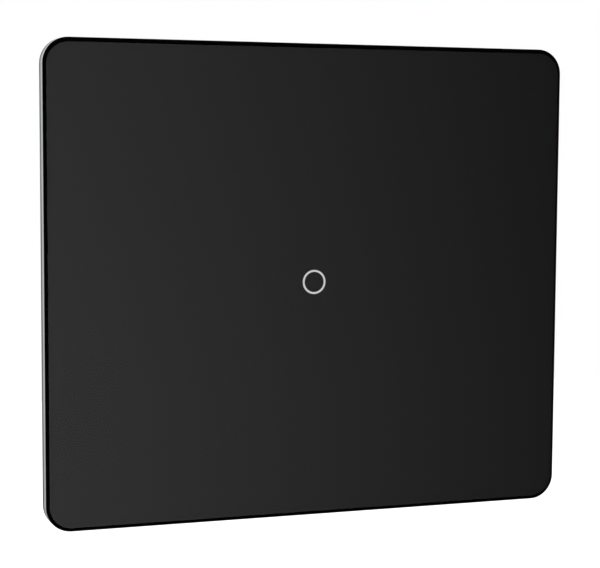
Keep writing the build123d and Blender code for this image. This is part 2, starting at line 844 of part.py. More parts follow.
# Module housing: cup with a notch for the terminal block, posts and screw ears
notch_width = block_width + 2 * snug
notch_top = block_bottom + terminal_block_depth + snug
with BuildPart() as module_housing:
    with BuildSketch(level(plate_thickness)):
        Polygon(*module_outline(0))
    extrude(amount=module_back - plate_thickness)
    chamfer(module_housing.faces().sort_by(Axis.Y)[-1].edges(), length=module_edge)
    with BuildSketch(level(module_back)):
        with Locations((0, label_z)):
            RectangleRounded(label_width, label_height, module_edge)
    extrude(amount=label_depth, mode=Mode.SUBTRACT)
    with BuildSketch(level(plate_thickness)):
        Polygon(*module_outline(-flange_overhang))
        with Locations(*module_screw_places):
            Circle(ear_radius)
    extrude(amount=flange_thickness)
    with BuildSketch(level(flange_front)):
        Polygon(*module_outline(module_wall))
    extrude(amount=board_back - flange_front, mode=Mode.SUBTRACT)
    with BuildSketch(level(board_back)):
        Polygon(*module_outline(module_wall))
        with Locations((0, notch_top + module_wall)):
            Rectangle(
                notch_width + 2 * module_wall,
                module_height,
                align=(Align.CENTER, Align.MAX),
                mode=Mode.SUBTRACT,
            )
    extrude(amount=housing_floor - board_back, mode=Mode.SUBTRACT)
    with BuildSketch(level(board_back)):
        with Locations((0, notch_top)):
            Rectangle(notch_width, module_height, align=(Align.CENTER, Align.MAX))
    extrude(amount=2 * module_back, mode=Mode.SUBTRACT)
    with BuildSketch(level(board_back)):
        with Locations(*board_screw_places):
            Circle(board_post_radius)
    extrude(amount=housing_floor - board_back)
    with BuildSketch(level(board_back)):
        with Locations(*board_screw_places):
            Circle(board_screw_radius + running)
    extrude(amount=-board_screw_grip - free, mode=Mode.SUBTRACT)
    with Locations(level(flange_front)):
        with Locations(*module_screw_places):
            CounterSinkHole(
                module_screw_radius + running,
                module_screw_head_radius + running,
                depth=flange_thickness,
                counter_sink_angle=90,
            )

module_housing.part.label = "module_housing"
export_step(module_housing.part, "parts/module_housing.step")

# Countersunk screws that hold the housing's ears on the plate
with BuildPart() as module_screws:
    with BuildSketch(level(flange_front)):
        with Locations(*module_screw_places):
            Circle(module_screw_radius)
    extrude(amount=-flange_front)
    with BuildSketch(level(flange_front)):
        with Locations(*module_screw_places):
            Circle(module_screw_head_radius)
    extrude(amount=module_screw_radius - module_screw_head_radius, taper=45)
    with BuildSketch(level(flange_front)):
        with Locations(*module_screw_places):
            cross_recess()
    extrude(amount=-recess_depth, mode=Mode.SUBTRACT)

module_screws.part.label = "module_screws"
export_step(module_screws.part, "parts/module_screws.step")

# Insulating lid that stands on the power board
with BuildPart() as module_cover:
    with BuildSketch(level(plate_thickness)):
        Polygon(*module_outline(module_wall + snug))
        with Locations((plug_x, plug_z)):
            Rectangle(plug_width + 2 * free, plug_length + 2 * free, mode=Mode.SUBTRACT)
    extrude(amount=flange_thickness)
    with BuildSketch(level(plate_thickness)):
        with Locations(*corner_places(cover_leg_x, cover_leg_z)):
            Rectangle(cover_leg, cover_leg)
    extrude(amount=board_front - plate_thickness)

module_cover.part.label = "module_cover"
export_step(module_cover.part, "parts/module_cover.step")

# Relay base and cover
with BuildPart() as relay_base:
    with BuildSketch(level(board_back)):
        with Locations((relay_x, relay_z)):
            Rectangle(
                relay_length - 2 * (relay_wall + snug), relay_width - 2 * (relay_wall + snug)
            )
        with Locations(*coil_leads, contact_lead):
            Circle(lead_radius + snug, mode=Mode.SUBTRACT)
    extrude(amount=-relay_floor)

relay_base.part.label = "relay_base"
export_step(relay_base.part, "parts/relay_base.step")

with BuildPart() as relay_cover:
    with BuildSketch(level(board_back)):
        with Locations((relay_x, relay_z)):
            Rectangle(relay_length, relay_width)
    extrude(amount=-relay_height)
    with BuildSketch(level(board_back)):
        with Locations((relay_x, relay_z)):
            Rectangle(relay_length - 2 * relay_wall, relay_width - 2 * relay_wall)
    extrude(amount=relay_wall - relay_height, mode=Mode.SUBTRACT)

relay_cover.part.label = "relay_cover"
export_step(relay_cover.part, "parts/relay_cover.step")

# Relay magnet: bent yoke, core with its pole face, bobbin and winding
with BuildPart() as relay_yoke:
    with BuildSketch(level(board_back - foot_low)):
        with Locations((hinge_x, relay_z)):
            Rectangle(yoke_foot, coil_side, align=(Align.MIN, Align.CENTER))
    extrude(amount=-yoke_thickness)
    with BuildSketch(level(board_back - foot_high)):
        with Locations((hinge_x, relay_z)):
            Rectangle(yoke_thickness, coil_side, align=(Align.MIN, Align.CENTER))
    extrude(amount=-yoke_leg_height)

relay_yoke.part.label = "relay_yoke"
export_step(relay_yoke.part, "parts/relay_yoke.step")

with BuildPart() as relay_core:
    with BuildSketch(level(board_back - foot_high)):
        with Locations((coil_x, relay_z)):
            Circle(core_radius)
    extrude(amount=foot_high - bobbin_high)
    with BuildSketch(level(board_back - bobbin_high)):
        with Locations((coil_x, relay_z)):
            Circle(pole_radius)
    extrude(amount=-pole_thickness)

relay_core.part.label = "relay_core"
export_step(relay_core.part, "parts/relay_core.step")

with BuildPart() as relay_bobbin:
    with BuildSketch(level(board_back - foot_high)):
        with Locations((coil_x, relay_z)):
            Circle(core_radius + snug + bobbin_wall)
    extrude(amount=foot_high - bobbin_high)
    with BuildSketch(level(board_back - foot_high)):
        with Locations((coil_x, relay_z)):
            Rectangle(coil_side, coil_side)
    extrude(amount=-bobbin_wall)
    with BuildSketch(level(board_back - bobbin_high)):
        with Locations((coil_x, relay_z)):
            Rectangle(coil_side, coil_side)
    extrude(amount=bobbin_wall)
    with BuildSketch(level(board_back - foot_high)):
        with Locations((coil_x, relay_z)):
            Circle(core_radius + snug)
    extrude(amount=foot_high - bobbin_high, mode=Mode.SUBTRACT)

relay_bobbin.part.label = "relay_bobbin"
export_step(relay_bobbin.part, "parts/relay_bobbin.step")

with BuildPart() as relay_winding:
    with BuildSketch(level(board_back - foot_high - bobbin_wall)):
        with Locations((coil_x, relay_z)):
            Circle(coil_side / 2 - winding_inset)
            Circle(core_radius + snug + bobbin_wall, mode=Mode.SUBTRACT)
    extrude(amount=foot_high + 2 * bobbin_wall - bobbin_high)

relay_winding.part.label = "relay_winding"
export_step(relay_winding.part, "parts/relay_winding.step")

with BuildPart() as relay_coil_pins:
    with BuildSketch(level(board_front + lead_stub)):
        with Locations(*coil_leads):
            Circle(lead_radius)
    extrude(amount=-lead_stub - board_thickness - foot_high)

relay_coil_pins.part.label = "relay_coil_pins"
export_step(relay_coil_pins.part, "parts/relay_coil_pins.step")

# Armature and contact blade in their open place, tilted about the yoke's edge
tilt = radians(armature_angle)
swing_plane = Plane(
    origin=(hinge_x, hinge_rise - board_back, relay_z),
    x_dir=(cos(tilt), sin(tilt), 0),
    z_dir=(0, 0, 1),
)
with BuildPart() as relay_armature:
    with BuildSketch(swing_plane):
        Rectangle(armature_length, armature_thickness, align=(Align.MIN, Align.MIN))
    extrude(amount=coil_side / 2, both=True)

relay_armature.part.label = "relay_armature"
export_step(relay_armature.part, "parts/relay_armature.step")

with BuildPart() as relay_contact_blade:
    with BuildSketch(swing_plane):
        with Locations((blade_start, armature_thickness)):
            Rectangle(blade_end - blade_start, blade_thickness, align=(Align.MIN, Align.MIN))
    extrude(amount=blade_width / 2, both=True)
    with BuildSketch(swing_plane):
        with Locations((blade_end - contact_setback, armature_thickness - contact_thickness)):
            Rectangle(contact_radius, contact_thickness, align=(Align.MIN, Align.MIN))
    revolve(axis=Axis(
        swing_plane.from_local_coords((blade_end - contact_setback, 0, 0)), swing_plane.y_dir
    ))

relay_contact_blade.part.label = "relay_contact_blade"
export_step(relay_contact_blade.part, "parts/relay_contact_blade.step")

# Fixed contact on its own bent blade
moving_contact_rise = hinge_rise + armature_thickness - contact_thickness
fixed_contact_high = moving_contact_rise - contact_closed_gap
fixed_shelf_high = fixed_contact_high - contact_thickness
with BuildPart() as relay_fixed_contact:
    with BuildSketch(level(board_back - fixed_shelf_high)):
        with Locations((contact_x - contact_radius, relay_z)):
            Rectangle(fixed_shelf, blade_width, align=(Align.MIN, Align.CENTER))
    extrude(amount=fixed_blade_thickness)
    with BuildSketch(level(board_back - fixed_shelf_high)):
        with Locations((contact_x, relay_z)):
            Circle(contact_radius)
    extrude(amount=-contact_thickness)
    with BuildSketch(level(board_back - relay_floor)):
        with Locations((contact_x - contact_radius + fixed_shelf, relay_z)):
            Rectangle(fixed_blade_thickness, blade_width, align=(Align.MAX, Align.CENTER))
    extrude(amount=relay_floor - fixed_shelf_high)
    with BuildSketch(level(board_front + lead_stub)):
        with Locations(contact_lead):
            Circle(lead_radius)
    extrude(amount=-lead_stub - board_thickness - relay_floor - fixed_blade_thickness)

relay_fixed_contact.part.label = "relay_fixed_contact"
export_step(relay_fixed_contact.part, "parts/relay_fixed_contact.step")

# Transformer: ferrite frame with a middle leg, bobbin and winding round that leg
window_width = (transformer_width - 2 * transformer_yoke - transformer_leg) / 2
window_height = transformer_height - 2 * transformer_yoke
window_x = (transformer_leg + window_width) / 2
transformer_middle = transformer_height / 2 - board_back
with BuildPart() as transformer_core:
    with BuildSketch(Plane.XY.offset(transformer_z)):
        with Locations((transformer_x, transformer_middle)):
            Rectangle(transformer_width, transformer_height)
        with Locations(
            (transformer_x - window_x, transformer_middle),
            (transformer_x + window_x, transformer_middle),
        ):
            Rectangle(window_width, window_height, mode=Mode.SUBTRACT)
    extrude(amount=transformer_stack / 2, both=True)

transformer_core.part.label = "transformer_core"
export_step(transformer_core.part, "parts/transformer_core.step")

tube_inner = [side + 2 * snug for side in (transformer_leg, transformer_stack)]
tube_outer = [side + 2 * transformer_bobbin_wall for side in tube_inner]
winding_outer = [side + 2 * transformer_winding for side in tube_outer]
bobbin_start = transformer_yoke + snug
bobbin_stop = transformer_height - transformer_yoke - snug
with BuildPart() as transformer_bobbin:
    with BuildSketch(level(board_back - bobbin_start)):
        with Locations((transformer_x, transformer_z)):
            Rectangle(*tube_outer)
    extrude(amount=bobbin_start - bobbin_stop)
    with BuildSketch(level(board_back - bobbin_start)):
        with Locations((transformer_x, transformer_z)):
            Rectangle(*winding_outer)
    extrude(amount=-transformer_flange)
    with BuildSketch(level(board_back - bobbin_stop)):
        with Locations((transformer_x, transformer_z)):
            Rectangle(*winding_outer)
    extrude(amount=transformer_flange)
    with BuildSketch(level(board_back - bobbin_start)):
        with Locations((transformer_x, transformer_z)):
            Rectangle(*tube_inner)
    extrude(amount=bobbin_start - bobbin_stop, mode=Mode.SUBTRACT)
    with BuildSketch(level(board_front + lead_stub)):
        with Locations(*transformer_leads):
            Circle(lead_radius)
    extrude(amount=-lead_stub - board_thickness - bobbin_start - transformer_flange)

transformer_bobbin.part.label = "transformer_bobbin"
export_step(transformer_bobbin.part, "parts/transformer_bobbin.step")

with BuildPart() as transformer_winding_turns:
    with BuildSketch(level(board_back - bobbin_start - transformer_flange)):
        with Locations((transformer_x, transformer_z)):
            Rectangle(*winding_outer)
            Rectangle(*tube_outer, mode=Mode.SUBTRACT)
    extrude(amount=bobbin_start - bobbin_stop + 2 * transformer_flange)
    upright = transformer_winding_turns.edges().filter_by(Axis.Y)
    outer_upright = upright.sort_by(lambda edge: abs(edge.center().X - transformer_x))[4:]
    fillet(outer_upright, radius=transformer_corner)

transformer_winding_turns.part.label = "transformer_winding"
export_step(transformer_winding_turns.part, "parts/transformer_winding.step")

# Film capacitor, moulded box with rounded edges
with BuildPart() as film_capacitor:
    with BuildSketch(level(board_back)):
        with Locations(film_capacitor_place):
            Rectangle(film_capacitor_size[0], film_capacitor_size[2])
    extrude(amount=-film_capacitor_size[1])
    fillet(film_capacitor.edges().filter_by(Axis.Y), radius=film_corner)
    fillet(film_capacitor.faces().sort_by(Axis.Y)[-1].edges(), radius=film_top_edge)
    with BuildSketch(level(board_back)):
        with Locations(*film_leads):
            Circle(lead_radius)
    extrude(amount=board_thickness + lead_stub)

film_capacitor.part.label = "film_capacitor"
export_step(film_capacitor.part, "parts/film_capacitor.step")

# Two electrolytic capacitors with a crimped groove at the board end
with BuildPart() as smoothing_capacitors:
    with BuildSketch(level(board_back)):
        with Locations(large_capacitor_place):
            Circle(large_capacitor_radius)
    extrude(amount=-large_capacitor_height)
    with BuildSketch(level(board_back)):
        with Locations(small_capacitor_place):
            Circle(small_capacitor_radius)
    extrude(amount=-small_capacitor_height)
    for can in smoothing_capacitors.solids():
        fillet(can.faces().sort_by(Axis.Y)[-1].edges(), radius=can_edge)
    with BuildSketch(level(board_back - crimp_rise)):
        with Locations(large_capacitor_place):
            Circle(large_capacitor_radius)
            Circle(large_capacitor_radius - crimp_depth, mode=Mode.SUBTRACT)
        with Locations(small_capacitor_place):
            Circle(small_capacitor_radius)
            Circle(small_capacitor_radius - crimp_depth, mode=Mode.SUBTRACT)
    extrude(amount=-crimp_height, mode=Mode.SUBTRACT)
    with BuildSketch(level(board_back)):
        with Locations(*large_leads, *small_leads):
            Circle(lead_radius)
    extrude(amount=board_thickness + lead_stub)

smoothing_capacitors.part.label = "smoothing_capacitors"
export_step(smoothing_capacitors.part, "parts/smoothing_capacitors.step")

# Boxed fuse
with BuildPart() as fuse:
    with BuildSketch(level(board_back)):
        with Locations(fuse_place):
            Rectangle(fuse_size[0], fuse_size[2])
    extrude(amount=-fuse_size[1])
    fillet(fuse.edges().filter_by(Axis.Y), radius=fuse_corner)
    with BuildSketch(level(board_back)):
        with Locations(*fuse_leads):
            Circle(lead_radius)
    extrude(amount=board_thickness + lead_stub)

fuse.part.label = "fuse"
export_step(fuse.part, "parts/fuse.step")

# Surge absorber: a disc standing on edge
with BuildPart() as varistor:
    with BuildSketch(Plane.XY.offset(varistor_place[1])):
        with Locations((varistor_place[0], varistor_radius - board_back)):
            Circle(varistor_radius)
    extrude(amount=varistor_thickness / 2, both=True)
    fillet(varistor.edges().filter_by(GeomType.CIRCLE), radius=varistor_edge)
    with BuildSketch(level(board_front + lead_stub)):
        with Locations(*varistor_leads):
            Circle(lead_radius)
    extrude(amount=-lead_stub - board_thickness - varistor_radius)

varistor.part.label = "varistor"
export_step(varistor.part, "parts/varistor.step")

# Rectifier bridge
with BuildPart() as bridge_rectifier:
    with BuildSketch(level(board_back)):
        with Locations(rectifier_place):
            Rectangle(rectifier_size[0], rectifier_size[2])
    extrude(amount=-rectifier_size[1])

bridge_rectifier.part.label = "bridge_rectifier"
export_step(bridge_rectifier.part, "parts/bridge_rectifier.step")
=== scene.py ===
import json
from math import cos, pi, radians, sin, tau

import bmesh
import bpy
from mathutils import Matrix, Vector


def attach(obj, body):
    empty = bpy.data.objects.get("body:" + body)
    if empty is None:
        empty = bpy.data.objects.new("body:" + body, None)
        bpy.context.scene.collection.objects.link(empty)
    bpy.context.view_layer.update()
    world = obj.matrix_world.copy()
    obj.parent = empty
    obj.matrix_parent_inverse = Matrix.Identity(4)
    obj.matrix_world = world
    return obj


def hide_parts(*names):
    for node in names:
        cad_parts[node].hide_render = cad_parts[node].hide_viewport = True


# Glass touch light switch. Lengths are written in millimetres and turned into metres by MM.
# A height is measured from the wall towards the room, so it runs along -Y.
MM = 0.001

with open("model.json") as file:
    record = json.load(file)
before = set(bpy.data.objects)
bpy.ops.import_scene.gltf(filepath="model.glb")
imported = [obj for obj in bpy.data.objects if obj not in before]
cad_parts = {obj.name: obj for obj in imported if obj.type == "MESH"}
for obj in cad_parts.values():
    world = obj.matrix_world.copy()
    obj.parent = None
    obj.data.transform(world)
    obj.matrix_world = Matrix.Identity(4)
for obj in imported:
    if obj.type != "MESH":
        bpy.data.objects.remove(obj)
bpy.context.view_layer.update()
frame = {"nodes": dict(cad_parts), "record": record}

# Picture and camera
PICTURE_WIDTH = 600
SENSOR_WIDTH = 36.0
FOCAL_PIXELS = 1703.3
SIDE_SHIFT = 0.27               # pixels from the optical axis right to the picture's middle
HORIZON_SHIFT = 23.58           # pixels from the picture's middle down to the optical axis
CAMERA_PLACE = (-106.275, -294.881, 24.261)
CAMERA_AZIMUTH = -19.876        # degrees, as the next two
CAMERA_ELEVATION = 5.406
CAMERA_ROLL = 0.3234
CLIP_START = 10.0

# Glass front
PANEL = (98.0, 85.0)
PANEL_CORNER = 4.5
GLASS_FRONT = 8.495             # the ring mark stands 0.005 proud of it
GLASS_BACK = 6.9
BEVEL_DEPTH = 0.2
FACE = (96.77, 83.57)           # flat inside the bevel, which is widest at the top
FACE_CORNER = 3.9
FACE_PLACE = (0.045, -0.085)
ARRIS = 0.04                    # polished edge between the side and the bevel
PRINT_BITE = 0.01               # glass reaches this far into the print, so the two are wetted
RIM_GAP = 0.005                 # between the clear slab and the rim


def at(x, height, z):
    """A point in metres from millimetres and a height in front of the wall."""
    return Vector((x * MM, -height * MM, z * MM))


# ---------------------------------------------------------------- meshes

CORNER_STEPS = 14
SHARP_ANGLE = 30.0              # degrees; a mesh is smooth over flatter edges
ROUNDED_ANGLE = 35.0            # degrees; the modifiers round sharper edges
WELD_DISTANCE = 0.0005


def finish_mesh(name, bm, looks, angle=SHARP_ANGLE):
    """An object from a bmesh, smooth except at its sharp edges."""
    bmesh.ops.recalc_face_normals(bm, faces=bm.faces)
    mesh = bpy.data.meshes.new(name)
    bm.to_mesh(mesh)
    bm.free()
    for polygon in mesh.polygons:
        polygon.use_smooth = True
    mesh.set_sharp_from_angle(angle=radians(angle))
    for look in looks:
        mesh.materials.append(look)
    piece = bpy.data.objects.new(name, mesh)
    bpy.context.scene.collection.objects.link(piece)
    return piece


def rounded_rectangle(width, height, radius):
    """Points (x, z) round a rectangle with round corners, anticlockwise from the right."""
    points = []
    for corner in range(4):
        side = 1 if corner in (0, 3) else -1
        rise = 1 if corner in (0, 1) else -1
        middle_x = side * (width / 2 - radius)
        middle_z = rise * (height / 2 - radius)
        for step in range(CORNER_STEPS + 1):
            turn = (corner + step / CORNER_STEPS) * pi / 2
            points.append((middle_x + radius * cos(turn), middle_z + radius * sin(turn)))
    return points


def moved(outline, x, z):
    return [(point_x + x, point_z + z) for point_x, point_z in outline]


def panel_outline(inset):
    """The panel's outline, moved in by inset."""
    return rounded_rectangle(PANEL[0] - 2 * inset, PANEL[1] - 2 * inset, PANEL_CORNER - inset)


def face_outline(inset):
    """The outline of the flat face inside the bevel, moved in by inset."""
    outline = rounded_rectangle(FACE[0] - 2 * inset, FACE[1] - 2 * inset, FACE_CORNER - inset)
    return moved(outline, *FACE_PLACE)


def add_loop(bm, outline, height):
    return [bm.verts.new(at(x, height, z)) for x, z in outline]


def bridge(bm, low, high, slot=0):
    """Faces between two loops with the same number of points."""
    count = len(low)
    for i in range(count):
        j = (i + 1) % count
        face = bm.faces.new((low[i], low[j], high[j], high[i]))
        face.material_index = slot


def loft(bm, sections, closed=False, slots=None):
    """Faces through a row of (outline, height) sections, capped at both ends or closed."""
    loops = [add_loop(bm, outline, height) for outline, height in sections]
    pairs = list(zip(loops, loops[1:]))
    if closed:
        pairs.append((loops[-1], loops[0]))
    for number, (low, high) in enumerate(pairs):
        bridge(bm, low, high, slots[number] if slots else 0)
    if not closed:
        bm.faces.new(loops[0])
        bm.faces.new(loops[-1])


def circle(radius, x, z, steps):
    return [
        (x + radius * cos(tau * i / steps), z + radius * sin(tau * i / steps))
        for i in range(steps)
    ]


BOX_FACES = ((0, 1, 3, 2), (4, 6, 7, 5), (0, 4, 5, 1), (2, 3, 7, 6), (0, 2, 6, 4), (1, 5, 7, 3))


def add_box(bm, low, high, slot=0):
    """A box between two corners given as (x, height, z)."""
    corners = [
        bm.verts.new(at(x, h, z))
        for x in (low[0], high[0])
        for h in (low[1], high[1])
        for z in (low[2], high[2])
    ]
    for ids in BOX_FACES:
        face = bm.faces.new([corners[i] for i in ids])
        face.material_index = slot


def bevelled(piece, width, segments=2):
    """Round the piece's sharp edges by a modifier."""
    bevel = piece.modifiers.new("edges", "BEVEL")
    bevel.width = width * MM
    bevel.segments = segments
    bevel.limit_method = "ANGLE"
    bevel.angle_limit = radians(ROUNDED_ANGLE)
    normals = piece.modifiers.new("normals", "WEIGHTED_NORMAL")
    normals.keep_sharp = True
    return piece


def soften(node, width):
    """Round the sharp edges of a CAD node by modifiers, without touching its mesh."""
    piece = frame["nodes"][node]
    weld = piece.modifiers.new("weld", "WELD")
    weld.merge_threshold = WELD_DISTANCE * MM
    bevelled(piece, width)


def place(piece, body, slot, *replaced):
    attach(piece, body)
    if replaced:
        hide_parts(*replaced)


# ---------------------------------------------------------------- materials

# Share, low and high among the inputs of Blender's Mix node
MIX_NUMBERS = (0, 2, 3)
MIX_COLOURS = (0, 6, 7)
NOISE_ROUGHNESS = 0.55
WAVE_TURN = 20                  # radians that Blender's wave texture turns in a unit of length

TIN = (0.72, 0.70, 0.67)
TIN_ROUGHNESS = 0.3
BLACK = (0.0, 0.0, 0.0)
WHITE = (1.0, 1.0, 1.0)

# Leads are tinned from these heights outwards
POWER_BOARD_BACK = -5.8
BOBBIN_FOOT = -7.85

# Copper on the boards
FIELD_SIZE = 6.5
FIELD_EDGE = (0.05, 0.09)       # the copper sets in this far from the line between two fields
TRACK_PITCH = 1.1
TRACK_EDGE = (0.25, 0.4)        # and a track at this level of its wave
PLAIN_FIELDS = 0.45             # a field whose random grey is below this has no tracks
UPRIGHT_FIELDS = 0.6            # above this its tracks run along Z, and in between along X
MASK_ON_BOARD = (0.006, 0.050, 0.026)
MASK_ON_COPPER = (0.014, 0.096, 0.045)


class Nodes:
    """Adds shader nodes to a tree. A value is a number, a colour or another node's output."""

    def __init__(self, tree):
        self.nodes = tree.nodes
        self.links = tree.links

    def feed(self, socket, value):
        if isinstance(value, bpy.types.NodeSocket):
            self.links.new(value, socket)
        else:
            socket.default_value = (*value, 1.0) if isinstance(value, tuple) else value

    def math(self, operation, a, b=0.0):
        node = self.nodes.new("ShaderNodeMath")
        node.operation = operation
        self.feed(node.inputs[0], a)
        self.feed(node.inputs[1], b)
        return node.outputs["Value"]

    def remap(self, value, low, high, start=0.3, end=0.7, smooth=False):
        """value from start to end becomes low to high."""
        node = self.nodes.new("ShaderNodeMapRange")
        node.interpolation_type = "SMOOTHSTEP" if smooth else "LINEAR"
        self.feed(node.inputs["Value"], value)
        self.feed(node.inputs["From Min"], start)
        self.feed(node.inputs["From Max"], end)
        self.feed(node.inputs["To Min"], low)
        self.feed(node.inputs["To Max"], high)
        return node.outputs["Result"]

    def mix(self, share, low, high):
        """A colour between low and high."""
        node = self.nodes.new("ShaderNodeMix")
        node.data_type = "RGBA"
        for number, value in zip(MIX_COLOURS, (share, low, high)):
            self.feed(node.inputs[number], value)
        return node.outputs[2]

    def blend(self, share, low, high):
        """A number between low and high."""
        node = self.nodes.new("ShaderNodeMix")
        for number, value in zip(MIX_NUMBERS, (share, low, high)):
            self.feed(node.inputs[number], value)
        return node.outputs[0]

    def rays(self):
        """What the camera sees, straight or through glass, and what is seen in gloss."""
        kinds = self.nodes.new("ShaderNodeLightPath").outputs
        seen = self.math("MAXIMUM", kinds["Is Camera Ray"], kinds["Is Transmission Ray"])
        return seen, kinds["Is Glossy Ray"]


class Surface(Nodes):
    """A Principled material. Lengths in millimetres."""

    def __init__(self, name, **fixed):
        self.material = bpy.data.materials.new(name)
        self.material.use_nodes = True
        super().__init__(self.material.node_tree)
        self.shader = self.nodes["Principled BSDF"]
        for socket, value in fixed.items():
            self.shader.inputs[socket.replace("_", " ")].default_value = value
        self.place = self.nodes.new("ShaderNodeTexCoord").outputs["Object"]

    def stretched(self, x, y, z):
        """Object coordinates scaled along each axis."""
        node = self.nodes.new("ShaderNodeMapping")
        node.inputs["Scale"].default_value = (x, y, z)
        self.links.new(self.place, node.inputs["Vector"])
        return node.outputs["Vector"]

    def noise(self, size, detail=3.0, vector=None):
        """Noise with features of about size millimetres."""
        node = self.nodes.new("ShaderNodeTexNoise")
        node.inputs["Scale"].default_value = 1 / (size * MM)
        node.inputs["Detail"].default_value = detail
        node.inputs["Roughness"].default_value = NOISE_ROUGHNESS
        self.links.new(vector or self.place, node.inputs["Vector"])
        return node.outputs["Fac"]

    def cells(self, size, output="Color", feature="F1", vector=None, distance="EUCLIDEAN"):
        node = self.nodes.new("ShaderNodeTexVoronoi")
        node.feature = feature
        node.distance = distance
        node.inputs["Scale"].default_value = 1 / (size * MM)
        self.links.new(vector or self.place, node.inputs["Vector"])
        return node.outputs[output]

    def bands(self, pitch, direction, distortion=0.0):
        """Waves pitch millimetres apart along an axis."""
        node = self.nodes.new("ShaderNodeTexWave")
        node.bands_direction = direction
        node.inputs["Scale"].default_value = tau / WAVE_TURN / (pitch * MM)
        node.inputs["Distortion"].default_value = distortion
        node.inputs["Detail Scale"].default_value = 2.0
        self.links.new(self.place, node.inputs["Vector"])
        return node.outputs["Fac"]

    def grey(self, colour):
        node = self.nodes.new("ShaderNodeRGBToBW")
        self.links.new(colour, node.inputs["Color"])
        return node.outputs["Val"]

    def drive(self, name, value):
        self.feed(self.shader.inputs[name], value)

    def source(self, name):
        """What the shader's input is linked to."""
        return self.shader.inputs[name].links[0].from_socket

    def colour(self, colour, spread, share):
        """The colour, darker and lighter by spread as share goes from 0 to 1."""
        low = tuple(c * (1 - spread) for c in colour)
        high = tuple(min(1.0, c * (1 + spread)) for c in colour)
        self.drive("Base Color", self.mix(share, low, high))

    def rough(self, value):
        self.drive("Roughness", value)

    def tinned_leads(self, height):
        """Tin where the piece stands further out than height."""
        axes = self.nodes.new("ShaderNodeSeparateXYZ")
        self.feed(axes.inputs[0], self.place)
        share = self.math("LESS_THAN", axes.outputs["Y"], -height * MM)
        body = self.math("MULTIPLY", self.source("Roughness"), self.math("SUBTRACT", 1.0, share))
        self.drive("Base Color", self.mix(share, self.source("Base Color"), TIN))
        self.drive("Metallic", share)
        self.rough(self.math("ADD", body, self.math("MULTIPLY", share, TIN_ROUGHNESS)))

    def bump(self, height, depth, strength):
        """Bump of depth millimetres."""
        node = self.nodes.new("ShaderNodeBump")
        node.inputs["Strength"].default_value = strength
        node.inputs["Distance"].default_value = depth * MM
        self.links.new(height, node.inputs["Height"])
        last = self.shader.inputs["Normal"]
        if last.is_linked:
            self.links.new(last.links[0].from_socket, node.inputs["Normal"])
        self.links.new(node.outputs["Normal"], last)


def plastic(name, colour, roughness, grain=0.16, depth=0.012, spread=0.08, leads=None, **fixed):
    """Moulded plastic: fine spark-eroded grain, faint flow marks, worn sheen."""
    look = Surface(name, **fixed)
    fine = look.noise(grain, detail=4.0)
    flow = look.noise(9.0, detail=2.0)
    look.colour(colour, spread, look.remap(look.math("ADD", fine, flow), 0, 1, 0.7, 1.3))
    look.rough(look.remap(flow, roughness - 0.06, roughness + 0.06))
    look.bump(fine, depth, 0.6)
    look.bump(look.noise(3.5), 0.01, 0.25)
    if leads:
        look.tinned_leads(leads)
    return look.material


def black_epoxy(name, leads=None):
    return plastic(name, (0.018, 0.018, 0.02), 0.45, grain=0.08, depth=0.01, leads=leads)


def metal(
    name, colour, roughness, stretch=(1, 1, 1), line=0.12, depth=0.004, spread=0.07, **fixed
):
    """Metal with fine lines along the axis that stretch makes small."""
    look = Surface(name, Metallic=1.0, **fixed)
    lines = look.noise(line, detail=4.0, vector=look.stretched(*stretch))
    marks = look.math("ADD", lines, look.noise(4.0, detail=3.0))
    look.colour(colour, spread, look.remap(marks, 0, 1, 0.7, 1.3))
    look.rough(look.remap(marks, roughness - 0.08, roughness + 0.1, 0.7, 1.3))
    look.bump(lines, depth, 0.5)
    return look.material


def clear_glass():
    look = Surface("clear_glass", Transmission_Weight=1.0, IOR=1.5)
    look.colour((0.965, 0.985, 0.975), 0.01, look.noise(30.0, detail=1.0))
    look.rough(look.remap(look.noise(14.0), 0.0, 0.012))
    look.bump(look.noise(45.0, detail=1.0), 0.002, 0.1)
    return look.material


def ground_edge():
    """Ground side of the glass: pale, faintly green, with fine lines along the edge."""
    look = Surface("ground_edge", IOR=1.5)
    lines = look.noise(0.09, detail=3.0, vector=look.stretched(0.04, 1.0, 0.04))
    look.colour((0.33, 0.345, 0.34), 0.06, lines)
    look.rough(look.remap(lines, 0.28, 0.42))
    look.bump(lines, 0.004, 0.4)
    return look.material


def black_bevel():
    look = Surface("black_bevel", Specular_IOR_Level=0.0)
    look.colour((0.0008, 0.0008, 0.0009), 0.2, look.noise(0.6))
    look.rough(look.remap(look.noise(0.4), 0.22, 0.34))
    return look.material


def black_enamel():
    look = Surface("black_enamel", Specular_IOR_Level=0.0)
    look.colour((0.0030, 0.0030, 0.0031), 0.12, look.noise(0.5))
    look.rough(look.remap(look.noise(0.3), 0.45, 0.6))
    look.bump(look.noise(0.25), 0.003, 0.3)
    return look.material


def ring_ink():
    look = Surface("ring_ink")
    speck = look.noise(0.05, detail=2.0)
    look.colour((0.60, 0.598, 0.597), 0.05, speck)
    look.rough(look.remap(speck, 0.35, 0.5))
    look.bump(speck, 0.003, 0.4)
    return look.material


def zinc():
    """Zinc plated sheet: faint spangle, rolling lines and handling marks."""
    look = Surface("zinc_plate", Metallic=1.0)
    spangle = look.cells(1.7)
    lines = look.noise(0.1, detail=4.0, vector=look.stretched(0.03, 1.0, 1.0))
    tone = look.mix(look.math("MULTIPLY", lines, 0.5), (0.40, 0.41, 0.42), (0.56, 0.57, 0.58))
    grey = look.grey(spangle)
    spot = look.mix(look.remap(grey, 0.0, 0.45, 0.2, 0.8), tone, (0.50, 0.51, 0.53))
    look.drive("Base Color", spot)
    look.rough(look.remap(grey, 0.34, 0.42, 0.2, 0.8))
    look.bump(lines, 0.003, 0.5)
    look.bump(look.noise(7.0), 0.01, 0.15)
    return look.material


